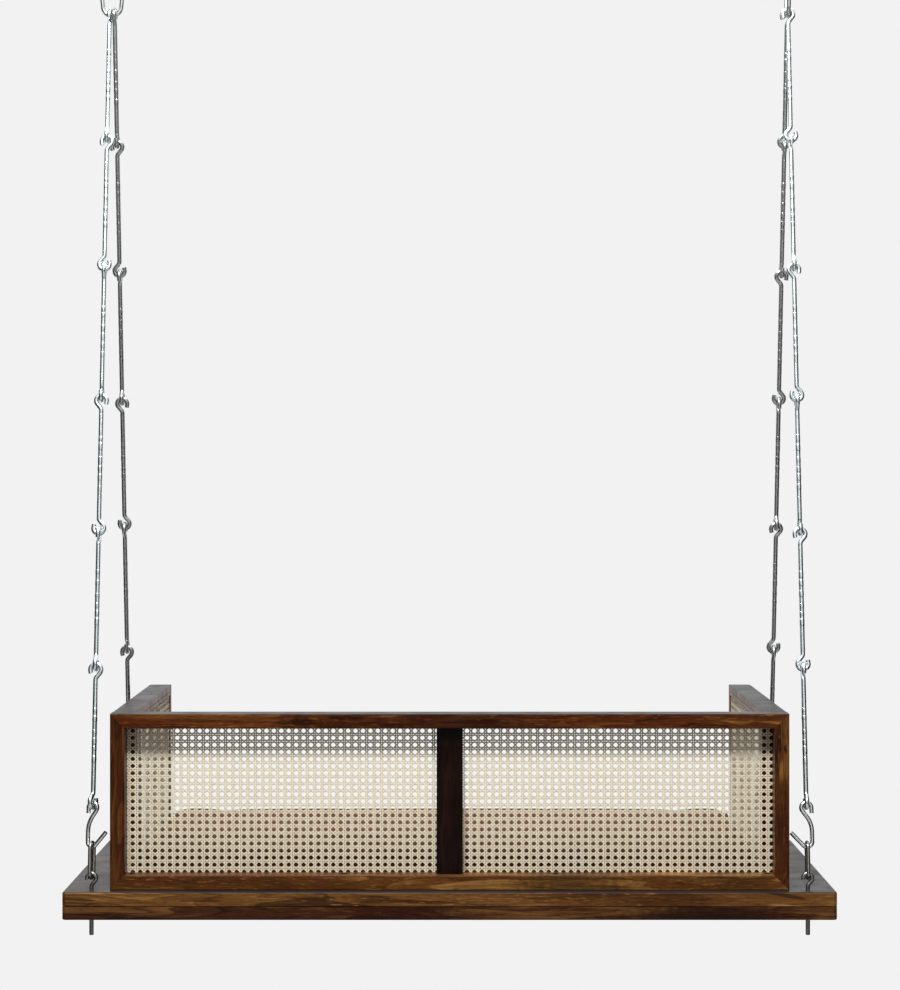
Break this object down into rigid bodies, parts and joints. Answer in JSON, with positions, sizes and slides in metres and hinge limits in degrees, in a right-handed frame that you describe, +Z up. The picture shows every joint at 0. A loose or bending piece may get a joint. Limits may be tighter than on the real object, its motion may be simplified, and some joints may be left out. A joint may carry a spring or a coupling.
{
  "type": "jhoola swing",
  "caption": "Wide wooden swing seat with caned back and arms and a loose cushion, hung from two ceiling plates on chains of long hooked metal rods.",
  "frame": {"origin": "on the ceiling, midway between the two ceiling plates, level with their top faces", "axes": "+Z up, +X along the seat's width, +Y towards the open front of the seat; the backrest is on -Y"},
  "size_m": [1.2812, 0.56, 1.6941],
  "materials": {
    "seat_wood": "satin",
    "frame_wood": "satin",
    "cane": "matte",
    "cushion_fabric": "matte",
    "rod_nickel": "polished",
    "hook_steel": "satin",
    "link_steel": "satin",
    "fastener_zinc": "satin",
    "screw_brass": "satin",
    "plate_paint": "satin"
  },
  "bodies": {
    "seat": {"back_bottom_rail": "frame_wood", "back_cane": "cane", "back_left_stile": "frame_wood", "back_mullion": "frame_wood", "back_right_stile": "frame_wood", "back_top_rail": "frame_wood", "eye_bolts": "link_steel", "left_arm_bottom_rail": "frame_wood", "left_arm_cane": "cane", "left_arm_front_stile": "frame_wood", "left_arm_rear_stile": "frame_wood", "left_arm_top_rail": "frame_wood", "nuts": "fastener_zinc", "oval_links": "link_steel", "right_arm_bottom_rail": "frame_wood", "right_arm_cane": "cane", "right_arm_front_stile": "frame_wood", "right_arm_rear_stile": "frame_wood", "right_arm_top_rail": "frame_wood", "seat_back_rail": "seat_wood", "seat_board": "seat_wood", "seat_cushion": "cushion_fabric", "seat_front_rail": "seat_wood", "seat_left_batten": "seat_wood", "seat_left_rail": "seat_wood", "seat_right_batten": "seat_wood", "seat_right_rail": "seat_wood", "washers": "fastener_zinc", "wood_screws": "screw_brass"},
    "left_chains": {"back_left_rod_1": "rod_nickel", "back_left_rod_2": "rod_nickel", "back_left_rod_3": "rod_nickel", "back_left_rod_4": "rod_nickel", "back_left_rod_5": "rod_nickel", "back_left_rod_6": "rod_nickel", "front_left_rod_1": "rod_nickel", "front_left_rod_2": "rod_nickel", "front_left_rod_3": "rod_nickel", "front_left_rod_4": "rod_nickel", "front_left_rod_5": "rod_nickel", "front_left_rod_6": "rod_nickel", "left_s_hooks": "hook_steel"},
    "right_chains": {"back_right_rod_1": "rod_nickel", "back_right_rod_2": "rod_nickel", "back_right_rod_3": "rod_nickel", "back_right_rod_4": "rod_nickel", "back_right_rod_5": "rod_nickel", "back_right_rod_6": "rod_nickel", "front_right_rod_1": "rod_nickel", "front_right_rod_2": "rod_nickel", "front_right_rod_3": "rod_nickel", "front_right_rod_4": "rod_nickel", "front_right_rod_5": "rod_nickel", "front_right_rod_6": "rod_nickel", "right_s_hooks": "hook_steel"},
    "ceiling": {"left_ceiling_plate": "plate_paint", "right_ceiling_plate": "plate_paint"},
    "left_ring": {"left_ring": "hook_steel"},
    "right_ring": {"right_ring": "hook_steel"}
  },
  "joints": [
    {"name": "swing", "type": "hinge", "parent": "ceiling", "child": "left_ring", "pos_m": [-0.5906, 0, -0.03716], "axis": [1, 0, 0], "range_deg": [-25, 25]},
    {"name": "sway", "type": "hinge", "parent": "left_ring", "child": "left_chains", "pos_m": [-0.5906, 0, -0.12627], "axis": [0, 1, 0], "range_deg": [-6, 6]},
    {"name": "seat_level", "type": "hinge", "parent": "left_chains", "child": "seat", "pos_m": [-0.5906, 0, -1.543], "axis": [0, 1, 0], "range_deg": [-6, 6]},
    {"name": "right_swing", "type": "hinge", "parent": "ceiling", "child": "right_ring", "pos_m": [0.5906, 0, -0.03716], "axis": [1, 0, 0], "range_deg": [-25, 25]},
    {"name": "right_sway", "type": "hinge", "parent": "right_ring", "child": "right_chains", "pos_m": [0.5906, 0, -0.12627], "axis": [0, 1, 0], "range_deg": [-6, 6]}
  ],
  "couplings": [
    {"joint": "seat_level", "follows": "sway", "ratio": -1},
    {"joint": "right_swing", "follows": "swing", "ratio": 1},
    {"joint": "right_sway", "follows": "sway", "ratio": 1}
  ]
}
